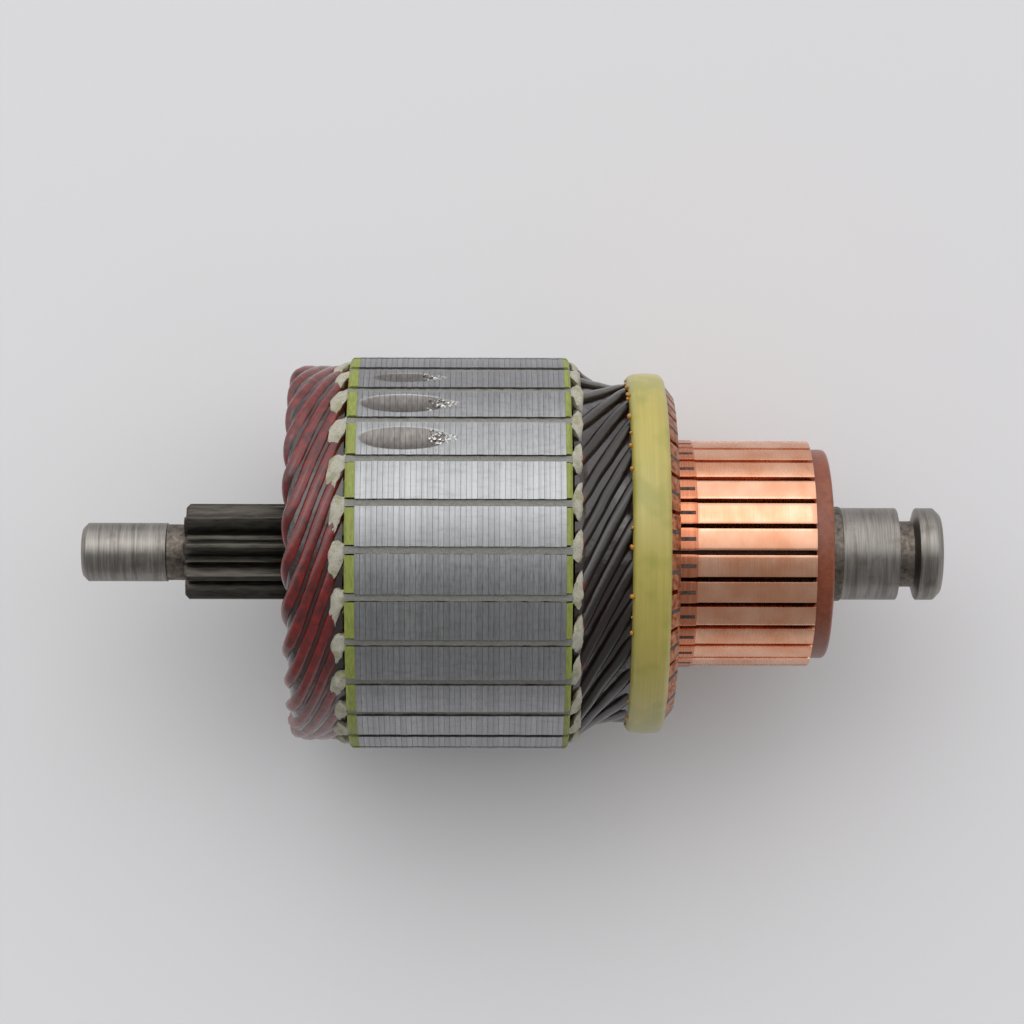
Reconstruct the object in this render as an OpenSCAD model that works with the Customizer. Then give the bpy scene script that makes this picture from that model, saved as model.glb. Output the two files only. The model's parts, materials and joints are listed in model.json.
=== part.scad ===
// Wound armature of a geared starter motor, lying on its core.
// Everything is drawn about the Z axis, commutator end up, and laid along X last.
// The middle of the core is the zero of every length along the shaft.

/* [Core] */
// Outer diameter of the core
core_d = 59.5; // [58:0.5:62]
// Length of the core stack
core_l = 30.4; // [24:0.8:44]
// Number of slots, which is also the number of coils and commutator bars
slot_count = 27; // [27:2:27]
// Width of the slot mouth at the core's surface
mouth_w = 1.1; // [0.8:0.1:1.6]
// Thickness of the tooth lips over the slot
lip_t = 0.95; // [0.8:0.05:1.4]
// How far a slot mouth in the plates is wider on each side than in the core
plate_mouth_gap = 0.2; // [0:0.05:0.4]
// Angle of the first slot from straight up
slot_turn = -0.7; // [-6:0.1:6]
// Thickness of the insulating plate at the drive end
drive_plate_t = 1.45; // [0.6:0.05:2]
// Thickness of the insulating plate at the commutator end
commutator_plate_t = 0.9; // [0.6:0.05:2]
// How far the insulating plates stand back from the core's surface
plate_recess = 0.05; // [0:0.05:0.4]
// Width of the bevel round each insulating plate
plate_bevel = 0.35; // [0.1:0.05:0.5]

/* [Balancing cuts] */
// Radius of the milling wheel
wheel_r = 40; // [25:1:60]
// Radius of the wheel's rounded rim
wheel_rim_r = 4.6; // [2.5:0.1:8]
// Distance of the cuts from the middle of the core towards the drive end
cut_place = 8.4; // [4:0.1:9]
// Depth of the first cut
first_cut_depth = 0.61; // [0.2:0.01:0.8]
// Depth of the second cut
second_cut_depth = 0.59; // [0.2:0.01:0.8]
// Depth of the third cut
third_cut_depth = 0.35; // [0.2:0.01:0.8]

/* [Winding] */
// Diameter of the enamelled wire
wire_d = 2.1; // [1.6:0.05:2.15]
// Gap between the outer and the inner wire in a slot
layer_gap = 0.4; // [0.3:0.05:0.6]
// Slots from one leg of a coil to the other
coil_span = 7; // [6:1:7]
// Bars that each leg moves round by on its way to the commutator
lead_span = 3; // [2:1:3]
// How far the coil noses stand out past the drive-end plate
nose_overhang = 9.35; // [9.2:0.05:12]
// Straight length of wire outside a plate before it bends
straight_l = 0.6; // [0.4:0.05:0.9]
// Length over which the leads come down from the slots to the risers
lead_drop_l = 6; // [5:0.5:8]
// Thickness of the paper slot liner
liner_t = 0.25; // [0.15:0.05:0.3]
// How far the fold in a slot mouth stays under the core's surface
fin_drop = 0.3; // [0.1:0.05:0.5]
// Length of the liner's cuff past the drive-end plate
drive_cuff_l = 2.1; // [1:0.1:2.4]
// Length of the liner's cuff past the commutator-end plate
commutator_cuff_l = 1.4; // [0.8:0.1:2]

/* [Banding] */
// Width of the glass banding
band_w = 5.65; // [4:0.05:6]
// Thickness of the glass banding
band_t = 1.6; // [0.8:0.1:2]
// Radius of the banding's shoulders
band_round = 1.25; // [0.3:0.05:1.5]

/* [Commutator] */
// Distance from the commutator-end plate to the risers
riser_gap = 10.7; // [10:0.1:14]
// Outer diameter of the risers
riser_d = 51.6; // [50:0.1:52]
// Thickness of the risers along the shaft
riser_l = 5.1; // [4.5:0.1:8]
// Length of the taper that shows past the banding
riser_taper_l = 1.4; // [0.8:0.1:1.6]
// Height of that taper
riser_taper_h = 1.8; // [0.8:0.1:2.4]
// Length of riser left past the end of a lead
lead_stop = 0.25; // [0.2:0.05:0.6]
// Diameter of the bars where the brushes run
track_d = 34.3; // [32:0.1:38]
// Length of the bars past the risers
track_l = 20.6; // [16:0.1:30]
// Length of the unworn stretch beside the risers
shoulder_l = 3; // [2:0.1:3.4]
// Height of the unworn stretch over the brush track
shoulder_h = 0.12; // [0.05:0.01:0.3]
// Thickness of the mica between two bars
mica_t = 0.6; // [0.4:0.05:0.7]
// Width of the saw cut over the mica
undercut_w = 0.76; // [0.72:0.02:1]
// Depth of the saw cut over the mica
undercut_h = 0.6; // [0.3:0.05:1]
// Radius of the undercutting saw
saw_r = 4; // [3:0.5:8]
// How far the saw cut runs in over the unworn stretch
undercut_in = 2; // [0.5:0.1:2]
// Angle by which the commutator is set ahead of the slots
commutator_turn = 0.3; // [-1:0.1:1]
// Height of the bars under the brush track
bar_h = 6.35; // [5:0.05:7]
// Length of the hook under each end of a bar
hook_l = 2.2; // [1.2:0.1:3]
// Diameter of the moulded ring at the end of the commutator
end_ring_d = 31.8; // [30:0.1:32]
// Thickness of the moulded ring
end_ring_t = 2.75; // [1.5:0.05:4]
// Radius of the ring's outer edge
end_ring_round = 0.7; // [0.2:0.1:1.2]

/* [Shaft] */
// Diameter of the shaft through the core
seat_d = 15.5; // [15.2:0.1:18]
// Diameter of the shaft inside the commutator
hub_seat_d = 14.4; // [14.2:0.1:15]
// How far the commutator's seat shows past the moulded ring
hub_seat_show = 2.4; // [1:0.1:4]
// Diameter of the commutator-end journal
commutator_journal_d = 14; // [13:0.1:14]
// Length of the commutator-end journal
commutator_journal_l = 8.5; // [6:0.1:16]
// Diameter at the bottom of the retaining groove
groove_d = 10; // [8:0.1:12]
// Width of the retaining groove at its bottom
groove_w = 2.45; // [1.5:0.05:4]
// How far the groove's outer wall leans over
groove_lean = 0.6; // [0.1:0.05:0.8]
// Length of the head past the groove
head_l = 3.6; // [2.5:0.1:6]
// Chamfer on the head
head_chamfer = 1; // [0.3:0.1:1.4]
// Diameter of the drive-end journal
drive_journal_d = 8.9; // [8.6:0.1:9]
// Length of the drive-end journal
drive_journal_l = 12.8; // [8:0.1:20]
// Chamfer on the drive-end journal
drive_chamfer = 0.8; // [0.2:0.1:1.2]
// Diameter of the neck beside the pinion
neck_d = 8.5; // [7.5:0.1:8.5]
// Length of the neck
neck_l = 2.85; // [1.5:0.05:4]

/* [Pinion] */
// Number of teeth
pinion_teeth = 9; // [9:1:9]
// Module of the teeth
pinion_module = 1.3; // [1.25:0.01:1.3]
// Tip diameter of the teeth
pinion_tip_d = 14.76; // [14.2:0.02:14.8]
// Profile shift, as a share of the module
pinion_shift = 0.25; // [0.2:0.01:0.3]
// Length of the teeth
pinion_l = 18.5; // [12:0.1:30]
// Distance from the teeth to the core
pinion_gap = 8.1; // [5:0.1:14]
// Chamfer on the ends of the teeth
pinion_chamfer = 0.6; // [0.2:0.05:1]
// Angle by which the root fillet widens a tooth on each side
pinion_fillet = 1.5; // [0.5:0.1:2]
// Angle of the first tooth from straight up
pinion_turn = -7.4; // [-20:0.1:20]

/* [Fits] */
// Clearance between a wire and what it lies in
wire_clearance = 0.05; // [0.03:0.01:0.06]
// Clearance between the liner and the slot
liner_clearance = 0.03; // [0.02:0.01:0.05]

/* [Hidden] */
core_r = core_d / 2;
pitch = 360 / slot_count;
over = 1;
smooth = 96;

// Slot and liner, outwards from the shaft
wire_r = wire_d / 2;
liner_room = wire_r + wire_clearance;
liner_half_w = liner_room + liner_t;
slot_half_w = liner_half_w + liner_clearance;
slot_top = core_r - lip_t;
liner_top = slot_top - liner_clearance;
outer_r = liner_top - liner_t - liner_room;
inner_r = outer_r - wire_d - layer_gap;
liner_bottom = inner_r - liner_room - liner_t;
slot_bottom = liner_bottom - liner_clearance;
mouth_half_w = mouth_w / 2;
fin_half_w = mouth_half_w - liner_clearance;
fin_top = core_r - fin_drop;
plate_mouth_half_w = mouth_half_w + plate_mouth_gap;

// Stations along the shaft
core_end = core_l / 2;
drive_plate_z = -core_end - drive_plate_t;
commutator_plate_z = core_end + commutator_plate_t;
riser_z = commutator_plate_z + riser_gap;
riser_face = riser_z + riser_l;
track_end = riser_face + track_l;
ring_face = track_end + end_ring_t;
band_end = riser_face - riser_taper_l;
journal_z = ring_face + hub_seat_show;
groove_z = journal_z + commutator_journal_l;
head_z = groove_z + groove_w;
shaft_top = head_z + head_l + groove_lean;
pinion_z = -core_end - pinion_gap - pinion_l;
neck_z = pinion_z - neck_l;
shaft_bottom = neck_z - drive_journal_l;

// Commutator, outwards from the shaft
riser_r = riser_d / 2;
track_r = track_d / 2;
shoulder_r = track_r + shoulder_h;
foot_r = track_r - bar_h;
neck_r = foot_r + bar_h / 3;
heel_r = foot_r + bar_h / 2;
hub_r = hub_seat_d / 2;
hook_tip = hook_l / 3;
end_ring_r = end_ring_d / 2;
band_r = riser_r + band_t;
bar_turn = slot_turn + commutator_turn;
lead_outer_r = riser_r - wire_r - wire_clearance;
lead_inner_r = lead_outer_r - wire_d - 2 * wire_clearance;
lead_slot_bottom = lead_inner_r - wire_r - wire_clearance;
lead_end = band_end - lead_stop;
lead_slot_end = lead_end + wire_clearance;

// Pinion, its root depth in modules
pinion_root_depth = 1.25;
pinion_pitch_r = pinion_module * pinion_teeth / 2;
pinion_tip_r = pinion_tip_d / 2;
pinion_root_r = pinion_pitch_r - (pinion_root_depth - pinion_shift) * pinion_module;
pinion_sink = 0.4;
tip_over = 0.1;
flank_steps = 6;
pressure_angle = 20;
pinion_base_r = pinion_pitch_r * cos(pressure_angle);

// Coil: rings along a bend, rings along a slope, and sides of the wire
bend_steps = 2;
nose_steps = 4;
slope_steps = 3;
cuff_steps = 6;
cuff_share = 0.8;
wire_sides = 6;
bend_share = 0.25;
nose_share = 0.09;
dive_pitches = 1;

coil_names = [for (n = [1:slot_count]) str("coil_", n < 10 ? "0" : "", n)];

steel = [0.55, 0.54, 0.52];
sheet_steel = [0.62, 0.63, 0.64];
plate_green = [0.57, 0.62, 0.25];
paper = [0.73, 0.71, 0.65];
enamel_red = [0.45, 0.1, 0.07];
glass_yellow = [0.68, 0.62, 0.32];
copper = [0.8, 0.47, 0.3];
mica_brown = [0.35, 0.3, 0.28];
phenolic = [0.42, 0.2, 0.08];

// Lays what was drawn about the Z axis along X, with angle 0 straight up
module lay() {
    rotate([0, 90, 0])
        rotate([0, 0, 180])
            children();
}

module round_slots(turn) {
    for (k = [0:slot_count - 1])
        rotate([0, 0, turn + k * pitch])
            children();
}

// ---- Core ----

// Outline of one slot with its mouth
module slot_outline(mouth) {
    translate([slot_bottom, -slot_half_w])
        square([slot_top - slot_bottom, 2 * slot_half_w]);
    translate([slot_top - over / 2, -mouth])
        square([lip_t + over, 2 * mouth]);
}

module lamination(r, mouth) {
    difference() {
        circle(r = r, $fn = smooth);
        circle(d = seat_d, $fn = smooth);
        round_slots(slot_turn)
            slot_outline(mouth);
    }
}

// One milled cut: the rim of the wheel, sunk into the middle of a tooth
module balancing_cut(tooth, depth) {
    rotate([0, 0, slot_turn + (tooth - 0.5) * pitch])
        translate([core_r + wheel_r - depth, 0, -cut_place])
            rotate([90, 0, 0])
                rotate_extrude($fn = smooth)
                    translate([wheel_r - wheel_rim_r, 0])
                        circle(r = wheel_rim_r, $fn = smooth);
}

module core_laminations() {
    color(sheet_steel)
        lay()
            difference() {
                translate([0, 0, -core_end])
                    linear_extrude(core_l)
                        lamination(core_r, mouth_half_w);
                balancing_cut(-2, first_cut_depth);
                balancing_cut(-3, second_cut_depth);
                balancing_cut(-4, third_cut_depth);
            }
}

// Insulating plate of the lamination's shape, with its outer edge bevelled
module end_plate(thickness) {
    r = core_r - plate_recess;
    color(plate_green)
        intersection() {
            linear_extrude(thickness)
                lamination(r, plate_mouth_half_w);
            rotate_extrude($fn = smooth)
                polygon([[0, 0], [r, 0], [r, thickness - plate_bevel],
                    [r - plate_bevel, thickness], [0, thickness]]);
        }
}

module drive_end_plate() {
    lay()
        translate([0, 0, -core_end])
            mirror([0, 0, 1])
                end_plate(drive_plate_t);
}

module commutator_end_plate() {
    lay()
        translate([0, 0, core_end])
            end_plate(commutator_plate_t);
}

// ---- Slot liners ----

// Closed sleeve round both wires, with a fold that stands in the slot mouth
module liner_outline() {
    difference() {
        union() {
            translate([liner_bottom, -liner_half_w])
                square([liner_top - liner_bottom, 2 * liner_half_w]);
            translate([liner_top - liner_t, -fin_half_w])
                square([fin_top - liner_top + liner_t, 2 * fin_half_w]);
        }
        translate([liner_bottom + liner_t, -liner_room])
            square([liner_top - liner_bottom - 2 * liner_t, 2 * liner_room]);
    }
}

// Cuff past a plate: it follows the outer wire round its bend and is open underneath
module cuff(way, length) {
    start = way[0];
    out = sign(way[1][0] - start[0]);
    line = [for (p = concat([start - [out * over, 0]], way))
        [outer_r * sin(p[1] - start[1]), p[0]]];
    floor_r = outer_r - wire_r;
    intersection() {
        difference() {
            cuff_block(line, liner_half_w, floor_r, liner_top);
            cuff_block(line, liner_room, floor_r - over, liner_top - liner_t);
        }
        translate([0, -2 * core_r, min(start[0], start[0] + out * length)])
            cube([2 * core_r, 4 * core_r, length]);
    }
}

// Band of the given half width along a line in the slot's own plane, from one radius to another.
// Points that would fold over on the inside of the bend are left out.
module cuff_block(line, half_w, from_r, to_r) {
    last = len(line) - 1;
    lean = sign(line[last][0]);
    side = [for (s = [-1, 1])
        [for (i = [0:last])
            let (d = line[min(last, i + 1)] - line[max(0, i - 1)],
                p = line[i] + s * half_w * [abs(d[1]), -sign(d[1]) * d[0]] / norm(d))
            if (i == 0 || s != lean || s * p[0] > half_w) p]];
    turned_back = [for (i = [len(side[1]) - 1:-1:0]) side[1][i]];
    translate([from_r, 0, 0])
        rotate([90, 0, 90])
            linear_extrude(to_r - from_r)
                polygon(concat(side[0], turned_back));
}

module slot_liners() {
    color(paper)
        lay()
            round_slots(slot_turn) {
                translate([0, 0, drive_plate_z])
                    linear_extrude(commutator_plate_z - drive_plate_z)
                        liner_outline();
                cuff(cuff_way(2, 3, 4, drive_cuff_l), drive_cuff_l);
                cuff(cuff_way(3, 2, 1, commutator_cuff_l), commutator_cuff_l);
            }
}

// ---- Coils ----

// A coil's way, as corners of [place along the shaft, angle] from one riser to the other
coil_corners =
    let (far = coil_span * pitch,
        lead = lead_span * pitch - commutator_turn,
        plate_out = drive_plate_z - straight_l,
        plate_in = commutator_plate_z + straight_l,
        riser_in = riser_z - straight_l - 2 * wire_clearance,
        nose = drive_plate_z - nose_overhang + wire_r,
        corner = plate_out - (plate_out - nose) / (1 - nose_share / 2))
    [[lead_end, -lead], [riser_in, -lead], [plate_in, 0], [plate_out, 0],
        [corner, far / 2],
        [plate_out, far], [plate_in, far],
        [riser_in, far + lead + 2 * commutator_turn],
        [lead_end, far + lead + 2 * commutator_turn]];

// Points of the bend that rounds off corner b, from a share of the way to a to a share of the way to c
function bend(a, b, c, from, to, steps, part = 1) =
    let (p = b + (a - b) * from,
        q = b + (c - b) * to)
    [for (i = [0:steps])
        let (t = part * i / steps)
        (1 - t) * (1 - t) * p + 2 * t * (1 - t) * b + t * t * q];

// Points between p and q, without its ends
function slope(p, q) =
    [for (i = [1:slope_steps]) p + (q - p) * i / (slope_steps + 1)];

// The bend at corner i, which starts in a straight stretch before it or ends in one after it
function leg_bend(i, straight_before, steps) =
    let (a = coil_corners[i - 1],
        b = coil_corners[i],
        c = coil_corners[i + 1],
        straight = straight_before ? a : c,
        share = straight_l / abs(b[0] - straight[0]))
    straight_before ? bend(a, b, c, share, bend_share, steps) : bend(a, b, c, bend_share, share, steps);

function first(list) = list[0];

function final(list) = list[len(list) - 1];

// The way as [place, angle] points with every corner rounded
coil_way =
    let (nose = bend(coil_corners[3], coil_corners[4], coil_corners[5], nose_share, nose_share, nose_steps),
        bends = [leg_bend(1, true, bend_steps), leg_bend(2, false, bend_steps), leg_bend(3, true, bend_steps),
            nose,
            leg_bend(5, false, bend_steps), leg_bend(6, true, bend_steps), leg_bend(7, false, bend_steps)])
    concat([coil_corners[0]],
        bends[0], slope(final(bends[0]), first(bends[1])),
        bends[1], bends[2], slope(final(bends[2]), first(nose)),
        nose, slope(final(nose), first(bends[4])),
        bends[4], bends[5], slope(final(bends[5]), first(bends[6])),
        bends[6], [coil_corners[8]]);

// Way of a cuff over the bend at corner i, from the straight stretch towards corner "before".
// It ends where its middle is a share of the cuff's length away from the plate.
function cuff_way(before, i, after, length) =
    let (b = coil_corners[i],
        rest = bend_share * abs(coil_corners[after][0] - b[0]) - straight_l,
        part = (sqrt(straight_l * straight_l + rest * cuff_share * length) - straight_l) / rest)
    bend(coil_corners[before], b, coil_corners[after],
        straight_l / abs(b[0] - coil_corners[before][0]), bend_share, cuff_steps, part);

function clamp(x) = min(1, max(0, x));

// Goes from 0 to 1 with x, gently at both ends
function ease(x) = clamp(x) * clamp(x) * (3 - 2 * clamp(x));

// Goes from 0 to 1 with x, gently at the end alone
function settle(x) = 1 - (1 - clamp(x)) * (1 - clamp(x));

// Distance of the wire from the shaft's axis. It dives from the outer to the inner layer at the nose.
// Past the commutator-end plate the inner leads come down first, which keeps the layers apart.
function coil_radius(p) =
    let (apex = coil_span * pitch / 2,
        dive = ease(0.5 + (p[1] - apex) / (dive_pitches * pitch)),
        out = p[0] - commutator_plate_z,
        outer = outer_r + (lead_outer_r - outer_r) * settle((out - straight_l) / lead_drop_l),
        inner = inner_r + (lead_inner_r - inner_r) * settle(out / (lead_drop_l - wire_r)))
    outer + (inner - outer) * dive;

coil_points =
    [for (p = coil_way)
        let (r = coil_radius(p))
        [r * cos(p[1]), r * sin(p[1]), p[0]]];

function unit(v) = v / norm(v);

// Ring of points round the wire at point i of its way
function wire_ring(path, i) =
    let (last = len(path) - 1,
        here = path[i],
        along = unit(path[min(last, i + 1)] - path[max(0, i - 1)]),
        out = unit([here[0], here[1], 0]),
        side = unit(cross(along, out)),
        up = cross(side, along))
    [for (j = [0:wire_sides - 1])
        let (a = (j + 0.5) * 360 / wire_sides)
        here + wire_r * (cos(a) * side + sin(a) * up)];

module wire(path) {
    rings = len(path);
    n = wire_sides;
    points = [for (i = [0:rings - 1]) each wire_ring(path, i)];
    walls = [for (i = [0:rings - 2], j = [0:n - 1])
        [i * n + j, i * n + (j + 1) % n, (i + 1) * n + (j + 1) % n, (i + 1) * n + j]];
    near_end = [for (j = [n - 1:-1:0]) j];
    far_end = [for (j = [0:n - 1]) (rings - 1) * n + j];
    polyhedron(points, concat(walls, [near_end, far_end]), convexity = 10);
}

module coil(k) {
    color(enamel_red)
        lay()
            rotate([0, 0, slot_turn + k * pitch])
                wire(coil_points);
}

// ---- Banding ----

module banding() {
    color(glass_yellow)
        lay()
            translate([0, 0, band_end - band_w])
                rotate_extrude($fn = smooth)
                    difference() {
                        translate([riser_r, 0])
                            square([band_t, band_w]);
                        for (side = [0, 1])
                            translate([0, side * band_w])
                                mirror([0, side])
                                    shoulder(band_r, band_round);
                    }
}

// What a round of radius r takes off the corner at [x, 0]
module shoulder(x, r) {
    translate([x - r, r])
        difference() {
            translate([0, -r - over])
                square([r + over, r + over]);
            circle(r = r, $fn = smooth);
        }
}

// ---- Commutator ----

// Outline of a bar from the side, [distance from the axis, place along the shaft]
module bar_outline() {
    polygon([
        [foot_r, riser_z + hook_tip],
        [neck_r, riser_z + hook_l],
        [heel_r, riser_z],
        [riser_r, riser_z],
        [riser_r, band_end],
        [riser_r - riser_taper_h, riser_face],
        [shoulder_r, riser_face],
        [shoulder_r, riser_face + shoulder_l],
        [track_r, riser_face + shoulder_l],
        [track_r, track_end],
        [heel_r, track_end],
        [neck_r, track_end - hook_l],
        [foot_r, track_end - hook_tip]]);
}

// Outline of the saw cut over the mica, with the saw's own radius at its inner end
module undercut_outline() {
    bottom = track_r - undercut_h;
    start = riser_face + shoulder_l - undercut_in;
    translate([bottom, start + saw_r])
        square([undercut_h + over, track_end - start - saw_r + over]);
    translate([bottom + saw_r, start + saw_r])
        circle(r = saw_r, $fn = smooth);
}

module between_bars() {
    round_slots(bar_turn + pitch / 2)
        children();
}

module upright(width) {
    rotate([90, 0, 0])
        linear_extrude(width, center = true)
            children();
}

module undercuts() {
    between_bars()
        upright(undercut_w)
            undercut_outline();
}

// Room of one bar between the mica on its two sides, seen along the shaft
module bar_wedge() {
    apex = mica_t / 2 / sin(pitch / 2);
    reach = riser_r + over;
    translate([apex, 0])
        polygon([[0, 0],
            [reach * cos(pitch / 2), reach * sin(pitch / 2)],
            [reach * cos(pitch / 2), -reach * sin(pitch / 2)]]);
}

module bar() {
    lead_half_w = wire_r + wire_clearance;
    difference() {
        intersection() {
            rotate([0, 0, -pitch / 2])
                rotate_extrude(angle = pitch, $fn = smooth)
                    bar_outline();
            translate([0, 0, riser_z - over])
                linear_extrude(track_end - riser_z + 2 * over)
                    bar_wedge();
        }
        translate([lead_slot_bottom, -lead_half_w, riser_z - over])
            cube([riser_r, 2 * lead_half_w, lead_slot_end - riser_z + over]);
        for (side = [-1, 1])
            rotate([0, 0, side * pitch / 2])
                upright(undercut_w)
                    undercut_outline();
    }
}

module commutator_bars() {
    color(copper)
        lay()
            round_slots(bar_turn)
                bar();
}

module commutator_mica() {
    color(mica_brown)
        lay()
            difference() {
                between_bars()
                    upright(mica_t)
                        bar_outline();
                undercuts();
            }
}

module commutator_hub() {
    color(phenolic)
        lay()
            rotate_extrude($fn = smooth)
                difference() {
                    polygon([
                        [hub_r, riser_z],
                        [heel_r, riser_z],
                        [neck_r, riser_z + hook_l],
                        [foot_r, riser_z + hook_tip],
                        [foot_r, track_end - hook_tip],
                        [neck_r, track_end - hook_l],
                        [heel_r, track_end],
                        [end_ring_r, track_end],
                        [end_ring_r, ring_face],
                        [hub_r, ring_face]]);
                    translate([0, ring_face])
                        mirror([0, 1])
                            shoulder(end_ring_r, end_ring_round);
                }
}

// ---- Shaft ----

// Involute of the base circle at radius r, as an angle
function involute(r) =
    let (a = acos(pinion_base_r / r))
    tan(a) * 180 / PI - a;

function tooth_half_angle(r) =
    90 / pinion_teeth
    + 2 * pinion_shift * tan(pressure_angle) / pinion_teeth * 180 / PI
    + involute(pinion_pitch_r) - involute(r);

// Tooth with involute flanks, a little too tall, to be trimmed to the tip diameter
module tooth_outline() {
    foot = tooth_half_angle(pinion_base_r) + pinion_fillet;
    flank = [for (i = [0:flank_steps])
        let (r = pinion_base_r + (pinion_tip_r + tip_over - pinion_base_r) * i / flank_steps)
        [r, tooth_half_angle(r)]];
    right = concat([[pinion_root_r - pinion_sink, foot], [pinion_root_r, foot]], flank);
    points = concat(
        [for (p = right) [p[0] * cos(p[1]), p[0] * sin(p[1])]],
        [for (i = [len(right) - 1:-1:0]) [right[i][0] * cos(right[i][1]), -right[i][0] * sin(right[i][1])]]);
    polygon(points);
}

module pinion() {
    c = pinion_chamfer;
    intersection() {
        linear_extrude(pinion_l + over)
            union() {
                circle(r = pinion_root_r, $fn = smooth);
                for (k = [0:pinion_teeth - 1])
                    rotate([0, 0, pinion_turn + k * 360 / pinion_teeth])
                        tooth_outline();
            }
        rotate_extrude($fn = smooth)
            polygon([[0, 0], [pinion_tip_r - c, 0], [pinion_tip_r, c],
                [pinion_tip_r, pinion_l + over], [0, pinion_l + over]]);
    }
}

// Half section of the turned shaft, without the teeth
module shaft_outline() {
    drive_r = drive_journal_d / 2;
    journal_r = commutator_journal_d / 2;
    polygon([
        [0, shaft_bottom],
        [drive_r - drive_chamfer, shaft_bottom],
        [drive_r, shaft_bottom + drive_chamfer],
        [drive_r, neck_z],
        [neck_d / 2, neck_z + (drive_r - neck_d / 2)],
        [neck_d / 2, pinion_z + over],
        [neck_d / 2, pinion_z + pinion_l],
        [seat_d / 2, pinion_z + pinion_l],
        [seat_d / 2, riser_z],
        [hub_r, riser_z],
        [hub_r, journal_z],
        [journal_r, journal_z],
        [journal_r, groove_z],
        [groove_d / 2, groove_z],
        [groove_d / 2, head_z],
        [journal_r, head_z + groove_lean],
        [journal_r, shaft_top - head_chamfer],
        [journal_r - head_chamfer, shaft_top],
        [0, shaft_top]]);
}

module shaft() {
    color(steel)
        lay()
            union() {
                rotate_extrude($fn = smooth)
                    shaft_outline();
                translate([0, 0, pinion_z])
                    pinion();
            }
}

shaft();
core_laminations();
drive_end_plate();
commutator_end_plate();
slot_liners();
for (k = [0:slot_count - 1])
    coil(k);
banding();
commutator_bars();
commutator_mica();
commutator_hub();
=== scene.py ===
import json
import math
import random

import bmesh
import bpy
from mathutils import Matrix, Vector, noise


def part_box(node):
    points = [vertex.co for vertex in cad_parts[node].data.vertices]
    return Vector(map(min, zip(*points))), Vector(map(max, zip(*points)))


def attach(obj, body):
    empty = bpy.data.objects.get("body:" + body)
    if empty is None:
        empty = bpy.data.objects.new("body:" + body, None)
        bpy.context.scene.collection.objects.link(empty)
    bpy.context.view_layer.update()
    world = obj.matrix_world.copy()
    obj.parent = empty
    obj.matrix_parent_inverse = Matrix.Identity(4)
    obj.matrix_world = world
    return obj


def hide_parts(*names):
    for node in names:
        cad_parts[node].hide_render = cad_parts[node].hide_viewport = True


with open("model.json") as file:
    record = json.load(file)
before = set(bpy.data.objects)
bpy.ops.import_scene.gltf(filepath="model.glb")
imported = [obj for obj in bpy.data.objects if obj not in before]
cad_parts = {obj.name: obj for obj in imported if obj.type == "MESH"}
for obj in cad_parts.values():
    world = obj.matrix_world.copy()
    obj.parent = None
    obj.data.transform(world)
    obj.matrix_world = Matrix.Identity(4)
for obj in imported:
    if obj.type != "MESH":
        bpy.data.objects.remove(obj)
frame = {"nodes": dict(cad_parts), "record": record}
# mathutils seeds its noise from the clock unless told otherwise
noise.seed_set(7)
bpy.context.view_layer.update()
print("frame loaded")

mm = 0.001
mounts = {m["name"]: m for m in frame["record"]["mounts"]}


def mountRadius(name):
    return mounts[name]["dims"]["r_mm"] * mm


# Places along the shaft and radii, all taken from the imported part
coreRadius = mountRadius("core_air_gap")
trackRadius = mountRadius("brush_track")
coreStart, coreEnd = (c.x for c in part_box("core_laminations"))
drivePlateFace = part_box("drive_end_plate")[0].x
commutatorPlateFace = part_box("commutator_end_plate")[1].x
riserStart, barEnd = (c.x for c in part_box("commutator_bars"))
bandStart, bandEnd = (c.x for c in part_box("banding"))
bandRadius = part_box("banding")[1].z
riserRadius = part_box("commutator_bars")[1].z
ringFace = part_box("commutator_hub")[1].x
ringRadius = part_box("commutator_hub")[1].z
shaftStart, shaftEnd = (c.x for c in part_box("shaft"))
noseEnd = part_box("coil_01")[0].x
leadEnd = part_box("coil_01")[1].x

slots = dict(
    count=27,
    turn=-0.7,  # degrees of the first slot from straight up
    mouth=1.1 * mm,
    barTurn=0.3,  # degrees of the commutator ahead of the slots
)
pitch = 360 / slots["count"]


def onPart(x, angle, radius):
    # a point of the part: place along the shaft, degrees from straight up towards -Y, distance from the axis
    a = math.radians(angle)
    return Vector((x, -radius * math.sin(a), radius * math.cos(a)))


# ---- materials ----


def linear(hexColour):
    channels = [int(hexColour[i:i + 2], 16) / 255 for i in (1, 3, 5)]
    return [c / 12.92 if c <= 0.04045 else ((c + 0.055) / 1.055) ** 2.4 for c in channels] + [1.0]


def addNode(tree, kind, inputs=None, stops=None, **settings):
    node = tree.nodes.new(kind)
    for key, value in settings.items():
        setattr(node, key, value)
    for socket, value in (inputs or {}).items():
        if isinstance(value, bpy.types.NodeSocket):
            tree.links.new(value, node.inputs[socket])
        elif isinstance(value, str) and value.startswith("#"):
            node.inputs[socket].default_value = linear(value)
        else:
            node.inputs[socket].default_value = value
    for i, (place, colour) in enumerate(stops or []):
        element = node.color_ramp.elements[i] if i < 2 else node.color_ramp.elements.new(place)
        element.position = place
        element.color = linear(colour)
    return node


def newMaterial(name, **sockets):
    material = bpy.data.materials.new(name)
    material.use_nodes = True
    tree = material.node_tree
    shader = tree.nodes["Principled BSDF"]
    for socket, value in sockets.items():
        if isinstance(value, str):
            value = linear(value)
        shader.inputs[socket.replace("_", " ")].default_value = value
    return material, tree, shader


def placeInPart(tree):
    # Object coordinates in millimetres
    place = addNode(tree, "ShaderNodeTexCoord").outputs["Object"]
    return addNode(tree, "ShaderNodeVectorMath", {0: place, 1: (1000, 1000, 1000)}, operation="MULTIPLY").outputs[0]


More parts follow.
